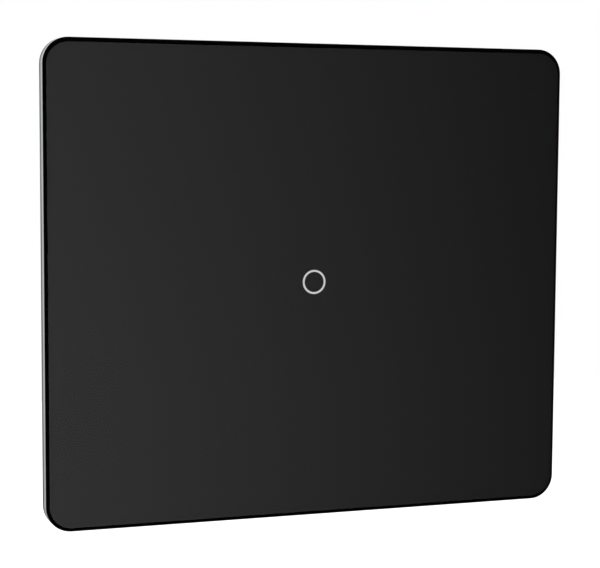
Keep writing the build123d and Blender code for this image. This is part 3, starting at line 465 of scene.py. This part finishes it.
def circuit_board():
    """Solder mask over copper fields with narrow gaps, some of them cut into tracks."""
    look = Surface("circuit_board", Coat_Weight=0.4, Coat_Roughness=0.2)
    flat = look.stretched(1.0, 0.0, 1.0)
    near, next_near = [
        look.cells(FIELD_SIZE, "Distance", feature, flat, "CHEBYCHEV") for feature in ("F1", "F2")
    ]
    field = look.remap(look.math("SUBTRACT", next_near, near), 0, 1, *FIELD_EDGE)
    kind = look.grey(look.cells(FIELD_SIZE, "Color", "F1", flat, "CHEBYCHEV"))
    upright, level = [
        look.mix(look.remap(look.bands(TRACK_PITCH, axis), 0, 1, *TRACK_EDGE), BLACK, WHITE)
        for axis in "XZ"
    ]
    plain = look.math("LESS_THAN", kind, PLAIN_FIELDS)
    tracks = look.grey(look.mix(look.math("GREATER_THAN", kind, UPRIGHT_FIELDS), level, upright))
    copper = look.math("MULTIPLY", field, look.math("MAXIMUM", plain, tracks))
    look.drive("Base Color", look.mix(copper, MASK_ON_BOARD, MASK_ON_COPPER))
    look.rough(look.remap(look.noise(0.35, detail=2.0), 0.32, 0.46))
    look.bump(copper, 0.03, 0.6)
    return look.material


def winding(name, colour, pitch, metallic):
    """Turns of wire or tape round the Y axis."""
    look = Surface(name, Metallic=metallic)
    turns = look.bands(pitch, "Y", 0.6)
    # The colour is darker in the grooves between turns and lighter on their tops, following the
    # bump: painted shade and painted highlight.
    look.colour(colour, 0.3, turns)
    look.rough(look.remap(look.noise(0.8), 0.25, 0.38))
    look.bump(turns, pitch / 3, 0.9)
    return look.material


def sintered(name, colour, roughness):
    look = Surface(name)
    speck = look.cells(0.12, output="Distance")
    look.colour(colour, 0.35, speck)
    look.rough(look.remap(speck, roughness - 0.08, roughness + 0.08))
    look.bump(look.noise(0.15, detail=4.0), 0.02, 0.6)
    return look.material


def make_materials():
    """One material for each slot of the record."""
    return {
        "clear_glass": clear_glass(),
        "black_enamel": black_enamel(),
        "ring_ink": ring_ink(),
        "smoked_ink": plastic(
            "smoked_ink", (0.0032, 0.0032, 0.0034), 0.4, grain=0.1, Specular_IOR_Level=0.0),
        "bonding_film": plastic("bonding_film", (0.02, 0.02, 0.021), 0.8, grain=0.3),
        "anodised_aluminium": metal(
            "anodised_aluminium", (0.385, 0.39, 0.395), 0.36, line=0.07, depth=0.005,
            spread=0.04, Specular_Tint=(0.3, 0.3, 0.3, 1.0)),
        "black_plastic": plastic("black_plastic", (0.022, 0.022, 0.024), 0.5, depth=0.018),
        "grey_plastic": plastic("grey_plastic", (0.105, 0.11, 0.115), 0.55, depth=0.018),
        "terminal_plastic": plastic(
            "terminal_plastic", (0.42, 0.43, 0.43), 0.42, grain=0.25, depth=0.008),
        "relay_plastic": plastic("relay_plastic", (0.02, 0.06, 0.24), 0.3, grain=0.4, depth=0.004),
        "bobbin_plastic": plastic("bobbin_plastic", (0.06, 0.05, 0.045), 0.5, leads=BOBBIN_FOOT),
        "chip_plastic": black_epoxy("chip_plastic"),
        "clear_plastic": plastic(
            "clear_plastic", (0.85, 0.87, 0.88), 0.12, Transmission_Weight=0.8, IOR=1.49),
        "lamp": plastic("lamp", (0.85, 0.80, 0.55), 0.3, grain=0.2),
        "circuit_board": circuit_board(),
        "plated_steel": metal("plated_steel", (0.62, 0.63, 0.64), 0.28, (1, 0.1, 1), line=0.08),
        "terminal_steel": metal(
            "terminal_steel", (0.66, 0.60, 0.44), 0.3, (1, 0.1, 1), line=0.08, spread=0.12),
        "spring_steel": metal("spring_steel", (0.55, 0.55, 0.56), 0.25),
        "zinc_plate": zinc(),
        "soft_iron": metal("soft_iron", (0.50, 0.50, 0.51), 0.34, (0.1, 1, 1)),
        "nickel": metal("nickel", (0.66, 0.64, 0.60), 0.2),
        "gold_pins": metal("gold_pins", (0.95, 0.66, 0.26), 0.22, (1, 0.08, 1)),
        "tinned_copper": metal("tinned_copper", (0.72, 0.68, 0.62), 0.3),
        "enamelled_copper": winding("enamelled_copper", (0.60, 0.22, 0.07), 0.14, 0.8),
        "winding_tape": winding("winding_tape", (0.75, 0.55, 0.06), 1.2, 0.0),
        "ferrite": sintered("ferrite", (0.05, 0.05, 0.055), 0.5),
        "capacitor_box": plastic(
            "capacitor_box", (0.66, 0.50, 0.06), 0.35, grain=0.4, depth=0.006,
            leads=POWER_BOARD_BACK),
        "capacitor_sleeve": plastic(
            "capacitor_sleeve", (0.015, 0.02, 0.06), 0.28, grain=0.5, depth=0.004,
            leads=POWER_BOARD_BACK),
        "varistor_coat": plastic(
            "varistor_coat", (0.04, 0.13, 0.42), 0.35, grain=0.6, depth=0.03,
            leads=POWER_BOARD_BACK),
    }


def dress_cad():
    """Give each CAD node its slot's material, and the fuse one like it with tinned leads."""
    slot_of = {row["node"]: row["material_slot"] for row in frame["record"]["subparts"]}
    for node, piece in frame["nodes"].items():
        piece.data.materials.clear()
        piece.data.materials.append(materials[slot_of[node]])
    fuse = black_epoxy("fuse_plastic", leads=POWER_BOARD_BACK)
    frame["nodes"]["fuse"].data.materials[0] = fuse


materials = make_materials()
dress_cad()
solder = metal("solder", (0.60, 0.60, 0.59), 0.3, line=0.3, depth=0.01)


# ---------------------------------------------------------------- glass front

RIM_ANGLE = 8.0                 # degrees; the bevel is shallow, and its edges stay sharp


def make_glass_body():
    """The clear slab inside the bevel. The print's front face lies just inside it."""
    bm = bmesh.new()
    outline = face_outline(RIM_GAP)
    loft(bm, [(outline, GLASS_BACK - PRINT_BITE), (outline, GLASS_FRONT)])
    piece = finish_mesh("glass_body", bm, [materials["clear_glass"]])
    place(piece, "front", "clear_glass", "glass_panel")


def make_glass_rim():
    """The glass outside that: ground side, black polished bevel, dark inside."""
    bm = bmesh.new()
    edge, black = 0, 1
    shoulder = GLASS_FRONT - BEVEL_DEPTH
    loft(
        bm,
        [
            (panel_outline(0.0), GLASS_BACK),
            (panel_outline(0.0), shoulder - ARRIS),
            (panel_outline(ARRIS / 2), shoulder + ARRIS / 2),
            (face_outline(0.0), GLASS_FRONT),
            (face_outline(0.0), GLASS_BACK),
        ],
        closed=True,
        slots=[edge, edge, black, black, black],
    )
    piece = finish_mesh("glass_rim", bm, [ground_edge(), black_bevel()], angle=RIM_ANGLE)
    place(piece, "front", "clear_glass", "glass_panel")


make_glass_body()
make_glass_rim()


# ---------------------------------------------------------------- small parts and moulded marks

# Bare film label in the recess of the housing's back
LABEL = (29.2, 15.2)
LABEL_CORNER = 0.8
LABEL_Z = 7.0
LABEL_FLOOR = -22.8
LABEL_THICK = 0.12
BORDER_INSET = 0.9
BORDER_LINE = 0.22
BORDER_THICK = 0.015

# Ribs on the module housing
HOUSING_SIDE = 23.0
RIB_PLACE = 8.0
RIB_WIDTH = 1.6
RIB_RISE = 0.45
RIB_BITE = 0.3
RIB_HEIGHTS = (-1.5, -20.5)
RIB_EDGE = 0.35

# Marks that ejector pins leave
EJECTOR_RADIUS = 1.5
EJECTOR_RISE = 0.05
EJECTOR_STEPS = 40
CARRIER_FLOOR = 1.5
CARRIER_MARKS = [(x, z) for x in (-40.5, 40.5) for z in (-8.0, 8.0)]
CARRIER_MARKS += [(x, z) for x in (-12.0, 12.0) for z in (-34.5, 34.5)]

# Barriers between the terminals
BARRIER_PLACES = (-14.5, -7.5, 0.0, 7.5, 14.5)
BARRIER_WIDTH = 0.9
BARRIER_HEIGHTS = (-18.9, -20.0)
BARRIER_Z = (-22.9, -12.9)
BARRIER_EDGE = 0.2

# Small parts on the back of the touch board: x, z, turned, and which body they have, a
# resistor's (1) or a capacitor's (2)
TOUCH_BOARD_FRONT = 4.1
TOUCH_BOARD_BACK = 3.1
CHIP_SIZE = (1.6, 0.8, 0.38)
CHIP_CAP = 0.3
CHIP_CAP_SWELL = 0.03
CHIP_EDGE = 0.04
CHIP_PARTS = [
    (13.0, 6.2, False, 1), (13.0, 4.2, False, 1), (13.0, 2.2, False, 1), (13.0, 0.2, False, 1),
    (13.0, -1.8, False, 2), (9.4, 5.6, True, 2), (7.6, 5.6, True, 2), (9.4, 1.6, True, 1),
    (7.6, 1.6, True, 1), (3.0, -9.0, False, 1), (3.0, -11.0, False, 1), (-4.5, 10.5, True, 2),
    (-6.3, 10.5, True, 2), (-4.5, 15.5, True, 1), (5.0, 15.5, True, 1), (5.0, 10.5, True, 1),
]

# Solder on the boards
POWER_BOARD_FRONT = -4.2
SOLDER = [(0.8, 0.0), (0.62, 0.12), (0.46, 0.32), (0.37, 0.62)]     # radius, rise
SOLDER_STEPS = 20
SOLDER_ANGLE = 50.0             # degrees; the cone is smooth
LEAD_RISE = 0.3                 # a lead stands out of the board by more than this
LEAD_REACH = 1.0                # and is no wider than this
LEADED = (
    "relay_coil_pins", "relay_fixed_contact", "relay_contact_blade", "relay_yoke", "terminal_bars",
    "transformer_bobbin", "film_capacitor", "smoothing_capacitors", "fuse", "varistor",
)

# Legs of the surface-mounted parts: distance from the body and rise above the board
LEG_PROFILE = [
    (-0.1, 0.88), (0.28, 0.88), (0.42, 0.16), (1.0, 0.16),
    (1.0, 0.0), (0.3, 0.0), (0.18, 0.72), (-0.1, 0.72),
]
LEG_WIDTH = 0.42
LEG_EDGE = 0.03
# x and z of each leg's root, and which way along Z it runs
CHIP_LEGS = [(-1.905 + 1.27 * n, side * 1.95 + 13.0, side) for n in range(4) for side in (-1, 1)]
RECTIFIER_LEGS = [(x, side * 1.8 + 0.2, side) for x in (13.7, 16.3) for side in (-1, 1)]

# Cans: x and z of the middle, radius, height of the top
CANS = [(4.0, -6.4, 4.0, -17.3), (12.0, -6.6, 3.0, -16.8)]
CAN_TOP_INSET = 0.9
CAN_TOP_RISE = 0.04
VENT_HALF = 0.16
SECTOR_STEPS = 12
SECTOR_TRIM = 1.4               # keeps a quarter inside its disc when the vent moves it out
STRIPE_HALF = 0.32              # radians
STRIPE_STEPS = 16
STRIPE_RISE = 0.03
STRIPE_HEIGHTS = (-9.2, -16.0)

# Test pads
PAD_RADIUS = 0.7
PAD_STEPS = 28
PAD_RISE = 0.04
PAD_PLACES = [(-16.0 + 2.5 * n, -17.0) for n in range(5)]


def film_label():
    """Satin silver film with faint brushing."""
    look = Surface("film_label")
    lines = look.noise(0.12, detail=3.0, vector=look.stretched(0.04, 1.0, 1.0))
    look.colour((0.52, 0.53, 0.535), 0.06, lines)
    look.rough(look.remap(look.noise(3.0), 0.34, 0.46))
    look.bump(lines, 0.003, 0.4)
    return look.material


def islands(points, reach):
    """Middles (x, z) of groups of points that lie within reach of their group's first one."""
    groups = []
    for x, z in points:
        for group in groups:
            if abs(group[0][0] - x) < reach and abs(group[0][1] - z) < reach:
                group.append((x, z))
                break
        else:
            groups.append([(x, z)])
    middles = []
    for group in groups:
        xs, zs = zip(*group)
        middles.append(((min(xs) + max(xs)) / 2, (min(zs) + max(zs)) / 2))
    return middles


def leads_of(node, height, side):
    """Middles of the node's leads that stand out of a board's face at that height."""
    points = [vertex.co for vertex in frame["nodes"][node].data.vertices]
    out = [(p.x / MM, p.z / MM) for p in points if side * (-p.y / MM - height) > LEAD_RISE]
    return islands(out, LEAD_REACH)


def make_solder(name, nodes, face, side, body):
    """A cone of solder round each lead on a board's face."""
    bm = bmesh.new()
    for node in nodes:
        for x, z in leads_of(node, face, side):
            rings = [(circle(radius, x, z, SOLDER_STEPS), rise) for radius, rise in SOLDER]
            loft(bm, [(ring, face + side * rise) for ring, rise in rings])
    place(finish_mesh(name, bm, [solder], angle=SOLDER_ANGLE), body, "tinned_copper")


def make_legs(name, legs, face, side, body):
    """Bent legs of a part on a board: each runs along Z away from the body."""
    bm = bmesh.new()
    for x, z, out in legs:
        profile = [(face + side * rise, z + out * reach) for reach, rise in LEG_PROFILE]
        ends = [
            [bm.verts.new(at(x + shift, *point)) for point in profile]
            for shift in (-LEG_WIDTH / 2, LEG_WIDTH / 2)
        ]
        bridge(bm, *ends)
        for end in ends:
            bm.faces.new(end)
    piece = finish_mesh(name, bm, [materials["tinned_copper"]])
    place(bevelled(piece, LEG_EDGE), body, "tinned_copper")


def sector(radius, x, z, gap, quarter):
    """A quarter of a disc, moved out by gap from both of its straight sides."""
    turn = quarter * pi / 2
    middle_x = x + gap * (cos(turn) - sin(turn))
    middle_z = z + gap * (sin(turn) + cos(turn))
    reach = radius - gap * SECTOR_TRIM
    outline = [(middle_x, middle_z)]
    for step in range(SECTOR_STEPS + 1):
        a = turn + step / SECTOR_STEPS * pi / 2
        outline.append((middle_x + reach * cos(a), middle_z + reach * sin(a)))
    return outline


def make_can_tops():
    """Aluminium tops with their vent cross, and the stripe down each sleeve."""
    bm = bmesh.new()
    for x, z, radius, top in CANS:
        for quarter in range(4):
            outline = sector(radius - CAN_TOP_INSET, x, z, VENT_HALF, quarter)
            loft(bm, [(outline, top + CAN_TOP_RISE), (outline, top - CAN_TOP_RISE)])
        arc = [
            STRIPE_HALF * (2 * step / STRIPE_STEPS - 1) - pi / 2 for step in range(STRIPE_STEPS + 1)
        ]
        outline = [
            (x + reach * cos(a), z + reach * sin(a))
            for reach, way in ((radius + STRIPE_RISE, 1), (radius - STRIPE_RISE, -1))
            for a in arc[::way]
        ]
        loft(bm, [(outline, height) for height in STRIPE_HEIGHTS], slots=[1])
    aluminium = metal("can_top", (0.62, 0.62, 0.63), 0.3, line=0.2)
    stripe = plastic("can_stripe", (0.38, 0.40, 0.42), 0.35, grain=0.3)
    place(finish_mesh("can_tops", bm, [aluminium, stripe]), "wall_module", "capacitor_sleeve")


def label_outline(inset):
    """The label's outline, moved in by inset, with corners that shrink more slowly."""
    width, height = LABEL[0] - 2 * inset, LABEL[1] - 2 * inset
    return moved(rounded_rectangle(width, height, LABEL_CORNER - inset / 4), 0.0, LABEL_Z)


def make_label():
    """The film and the printed line round it."""
    bm = bmesh.new()
    top = LABEL_FLOOR - LABEL_THICK
    loft(bm, [(label_outline(0.0), LABEL_FLOOR), (label_outline(0.0), top)])
    outer = label_outline(BORDER_INSET)
    inner = label_outline(BORDER_INSET + BORDER_LINE)
    low, high = top + BORDER_THICK, top - BORDER_THICK
    loft(bm, [(outer, low), (outer, high), (inner, high), (inner, low)], closed=True, slots=[1] * 4)
    border = plastic("label_border", (0.03, 0.03, 0.032), 0.5, grain=0.08)
    piece = finish_mesh("label_film", bm, [film_label(), border])
    place(piece, "wall_module", "terminal_plastic")


def make_ribs():
    """Ribs that centre the housing in its wall box: two on each side, two on top."""
    bm = bmesh.new()
    inside, outside = HOUSING_SIDE - RIB_BITE, HOUSING_SIDE + RIB_RISE
    for middle in (-RIB_PLACE, RIB_PLACE):
        start, end = middle - RIB_WIDTH / 2, middle + RIB_WIDTH / 2
        for side in (-1, 1):
            near, far = sorted((side * inside, side * outside))
            add_box(bm, (near, RIB_HEIGHTS[1], start), (far, RIB_HEIGHTS[0], end))
        add_box(bm, (start, RIB_HEIGHTS[1], inside), (end, RIB_HEIGHTS[0], outside))
    piece = finish_mesh("housing_ribs", bm, [materials["grey_plastic"]])
    place(bevelled(piece, RIB_EDGE, 3), "wall_module", "grey_plastic")


def make_carrier_marks():
    bm = bmesh.new()
    low, high = CARRIER_FLOOR + EJECTOR_RISE, CARRIER_FLOOR - EJECTOR_RISE
    for x, z in CARRIER_MARKS:
        foot = circle(EJECTOR_RADIUS, x, z, EJECTOR_STEPS)
        crown = circle(EJECTOR_RADIUS - EJECTOR_RISE, x, z, EJECTOR_STEPS)
        loft(bm, [(foot, low), (foot, CARRIER_FLOOR), (crown, high)])
    piece = finish_mesh("carrier_marks", bm, [materials["black_plastic"]])
    place(piece, "front", "black_plastic")


def make_barriers():
    bm = bmesh.new()
    for x in BARRIER_PLACES:
        add_box(
            bm,
            (x - BARRIER_WIDTH / 2, BARRIER_HEIGHTS[1], BARRIER_Z[0]),
            (x + BARRIER_WIDTH / 2, BARRIER_HEIGHTS[0], BARRIER_Z[1]),
        )
    piece = finish_mesh("terminal_barriers", bm, [materials["terminal_plastic"]])
    place(bevelled(piece, BARRIER_EDGE, 3), "wall_module", "terminal_plastic")


def make_board_parts():
    """Chip resistors and capacitors with tinned ends, and round test pads."""
    bm = bmesh.new()
    long, wide, tall = CHIP_SIZE
    for x, z, turned, body in CHIP_PARTS:
        for start, end, slot, swell in (
            (-long / 2 + CHIP_CAP / 2, long / 2 - CHIP_CAP / 2, body, 0.0),
            (-long / 2, -long / 2 + CHIP_CAP, 0, CHIP_CAP_SWELL),
            (long / 2 - CHIP_CAP, long / 2, 0, CHIP_CAP_SWELL),
        ):
            half = wide / 2 + swell
            low, high = (start, -half), (end, half)
            if turned:
                low, high = (-half, start), (half, end)
            add_box(
                bm,
                (x + low[0], TOUCH_BOARD_BACK - tall - swell, z + low[1]),
                (x + high[0], TOUCH_BOARD_BACK, z + high[1]),
                slot,
            )
    for x, z in PAD_PLACES:
        pad = circle(PAD_RADIUS, x, z, PAD_STEPS)
        loft(bm, [(pad, TOUCH_BOARD_BACK), (pad, TOUCH_BOARD_BACK - PAD_RISE)])
    tan = plastic("chip_ceramic", (0.30, 0.21, 0.13), 0.45, grain=0.08)
    looks = [materials["tinned_copper"], materials["chip_plastic"], tan]
    piece = finish_mesh("board_parts", bm, looks)
    place(bevelled(piece, CHIP_EDGE), "front", "chip_plastic")


make_label()
make_ribs()
make_carrier_marks()
make_barriers()
make_board_parts()
make_can_tops()
make_solder("power_board_solder", LEADED, POWER_BOARD_FRONT, 1, "wall_module")
make_solder("socket_solder", ["socket_contacts"], POWER_BOARD_BACK, -1, "wall_module")
make_solder("plug_solder", ["header_pins"], TOUCH_BOARD_FRONT, 1, "front")
make_legs("touch_chip_legs", CHIP_LEGS, TOUCH_BOARD_FRONT, 1, "front")
make_legs("rectifier_legs", RECTIFIER_LEGS, POWER_BOARD_BACK, -1, "wall_module")


# ---------------------------------------------------------------- edges of the CAD nodes

SOFT_EDGES = {
    "bezel_frame": 0.06,
    "front_carrier": 0.2,
    "mounting_plate": 0.12,
    "module_housing": 0.25,
    "module_cover": 0.15,
}

for node, width in SOFT_EDGES.items():
    soften(node, width)


# ---------------------------------------------------------------- studio

FLOOR_DEPTH = 250.0
FLOOR_SIDE = 1500.0
FLOOR_TONE = (0.8, 0.8, 0.8)
FLOOR_GLOW = 0.45               # what the floor adds for the camera, so that it looks white

# The world: light on matt surfaces from all round, and the tones of the room seen in gloss.
# A rise is the upward part of the way looked, from -1 to 1.
DOME = 0.88
SIDE_TURN = (-5.0, 42.0)        # degrees from straight out into the room, towards +X
SIDE_TONE = (0.93, 0.035)
TALL_RISE = (-0.14, 0.12)
TALL_TONE = (1.066, 0.83)
BEHIND_RISE = (-0.25, 0.1)
BEHIND_TONE = (0.45, 1.05)
FRONT_AHEAD = (-0.2, 0.3)       # the outward part of the way looked, where the front sets in

# Lamps, all aimed at the part: place, side, watts
LAMPS = {
    "key": ((-700, -650, 600), 500, 3.2),
    "fill": ((600, 700, 500), 600, 2.5),
}


def make_floor():
    """A matt white floor. Gloss sees the world's pale ground instead, which has no edge."""
    bm = bmesh.new()
    corners = [
        (-FLOOR_SIDE, -FLOOR_SIDE), (FLOOR_SIDE, -FLOOR_SIDE),
        (FLOOR_SIDE, FLOOR_SIDE), (-FLOOR_SIDE, FLOOR_SIDE),
    ]
    bm.faces.new([bm.verts.new(at(x, -y, -FLOOR_DEPTH)) for x, y in corners])
    look = Surface("floor", Roughness=1.0, Specular_IOR_Level=0.0)
    look.colour(FLOOR_TONE, 0.01, look.noise(200.0))
    seen, gloss = look.rays()
    look.drive("Emission Color", WHITE)
    look.drive("Emission Strength", look.math("MULTIPLY", seen, FLOOR_GLOW))
    clear = look.nodes.new("ShaderNodeBsdfTransparent")
    either = look.nodes.new("ShaderNodeMixShader")
    for socket, value in zip(either.inputs, (gloss, look.shader.outputs[0], clear.outputs[0])):
        look.feed(socket, value)
    look.feed(look.nodes["Material Output"].inputs["Surface"], either.outputs[0])
    piece = finish_mesh("floor", bm, [look.material])


def make_world():
    """White to the eye, an even dome on matt surfaces, and in gloss a white room that falls
    dark towards the front right."""
    world = bpy.data.worlds.new("studio")
    bpy.context.scene.world = world
    world.use_nodes = True
    tree = Nodes(world.node_tree)
    background = tree.nodes["Background"]
    tree.feed(background.inputs["Color"], WHITE)
    way = tree.nodes.new("ShaderNodeSeparateXYZ")
    tree.feed(way.inputs[0], tree.nodes.new("ShaderNodeTexCoord").outputs["Generated"])
    ahead = tree.math("MULTIPLY", way.outputs["Y"], -1.0)
    rise = way.outputs["Z"]
    turn = tree.math("ARCTAN2", way.outputs["X"], ahead)
    side = tree.remap(turn, *SIDE_TONE, *map(radians, SIDE_TURN), smooth=True)
    front = tree.math("MULTIPLY", side, tree.remap(rise, *TALL_TONE, *TALL_RISE))
    behind = tree.remap(rise, *BEHIND_TONE, *BEHIND_RISE)
    room = tree.blend(tree.remap(ahead, 0.0, 1.0, *FRONT_AHEAD, smooth=True), behind, front)
    seen, gloss = tree.rays()
    tree.feed(background.inputs["Strength"], tree.blend(seen, tree.blend(gloss, DOME, room), 1.0))


def make_lamp(name, place_mm, size_mm, watts):
    data = bpy.data.lights.new(name, "AREA")
    data.size = size_mm * MM
    data.energy = watts
    lamp = bpy.data.objects.new(name, data)
    lamp.location = Vector(place_mm) * MM
    lamp.rotation_euler = (-lamp.location).to_track_quat("-Z", "Y").to_euler()
    bpy.context.scene.collection.objects.link(lamp)


def make_camera():
    azimuth, elevation, roll = (
        radians(CAMERA_AZIMUTH), radians(CAMERA_ELEVATION), radians(CAMERA_ROLL)
    )
    back = Vector((sin(azimuth) * cos(elevation), -cos(azimuth) * cos(elevation), sin(elevation)))
    right = (-back).cross(Vector((0, 0, 1))).normalized()
    up = right.cross(-back)
    right, up = cos(roll) * right + sin(roll) * up, cos(roll) * up - sin(roll) * right
    data = bpy.data.cameras.new("camera")
    data.sensor_width = SENSOR_WIDTH
    data.lens = FOCAL_PIXELS / PICTURE_WIDTH * SENSOR_WIDTH
    data.shift_x = SIDE_SHIFT / PICTURE_WIDTH
    data.shift_y = HORIZON_SHIFT / PICTURE_WIDTH
    data.clip_start = CLIP_START * MM
    camera = bpy.data.objects.new("camera", data)
    turned = Matrix((right, up, back)).transposed().to_4x4()
    camera.matrix_world = Matrix.Translation(Vector(CAMERA_PLACE) * MM) @ turned
    bpy.context.scene.collection.objects.link(camera)
    bpy.context.scene.camera = camera


make_floor()
make_world()
for name, lamp in LAMPS.items():
    make_lamp(name, *lamp)
make_camera()
bpy.context.scene.view_settings.view_transform = "Standard"
